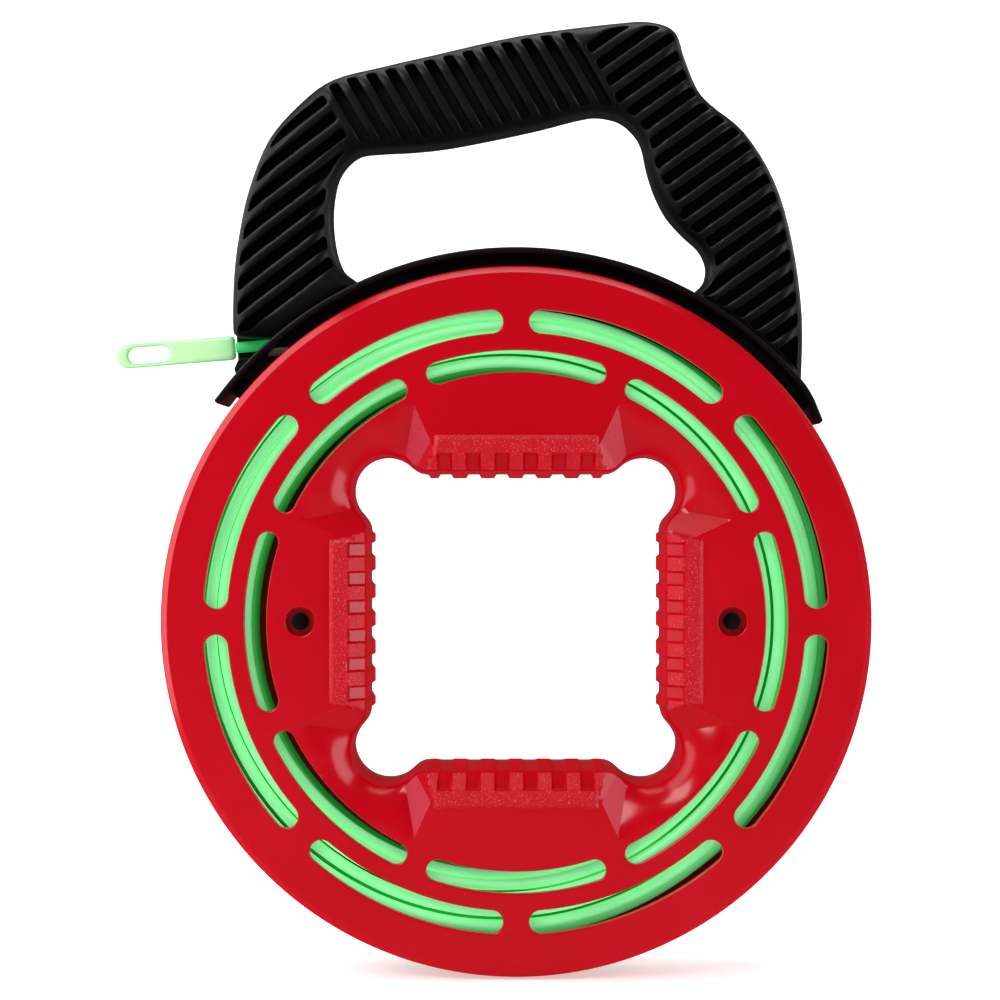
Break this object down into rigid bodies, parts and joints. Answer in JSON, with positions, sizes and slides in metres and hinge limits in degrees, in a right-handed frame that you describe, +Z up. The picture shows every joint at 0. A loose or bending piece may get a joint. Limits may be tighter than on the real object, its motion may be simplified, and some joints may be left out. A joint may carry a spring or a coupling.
{
  "type": "fish tape reel",
  "caption": "Hand-held reel of round fibreglass fish tape: a round case turns in the groove of a one-piece handle and feeds the tape out through a mouth.",
  "frame": {"origin": "centre of the round case on its spin axis, halfway through its thickness", "axes": "+Z up towards the handle, -Y out of the front face, +X to the right as seen from the front"},
  "size_m": [0.3269, 0.059, 0.4116],
  "materials": {
    "handle_plastic": "satin",
    "guide_plastic": "satin",
    "case_plastic": "gloss",
    "black_screw": "satin",
    "fibreglass": "translucent green",
    "steel": "satin",
    "leader_plastic": "translucent pale green"
  },
  "bodies": {
    "handle": {"handle": "handle_plastic", "tape_guide": "guide_plastic", "tape_run": "fibreglass"},
    "case": {"front_shell": "case_plastic", "rear_shell": "case_plastic", "case_screw_left": "black_screw", "case_screw_right": "black_screw", "tape_coil": "fibreglass", "tape_ferrule": "steel", "anchor_clip": "steel", "anchor_screw": "steel"},
    "tape_end": {"leader": "leader_plastic"}
  },
  "joints": [
    {"name": "case_spin", "type": "hinge", "parent": "handle", "child": "case", "pos_m": [0, 0, 0], "axis": [0, -1, 0], "range_deg": [0, 5350]},
    {"name": "tape_payout", "type": "slide", "parent": "handle", "child": "tape_end", "axis": [-0.9966, 0, -0.0819], "range_m": [0, 12], "deforming": ["tape_run"]}
  ],
  "couplings": [
    {"joint": "tape_payout", "follows": "case_spin", "m_per_rad": 0.128}
  ]
}
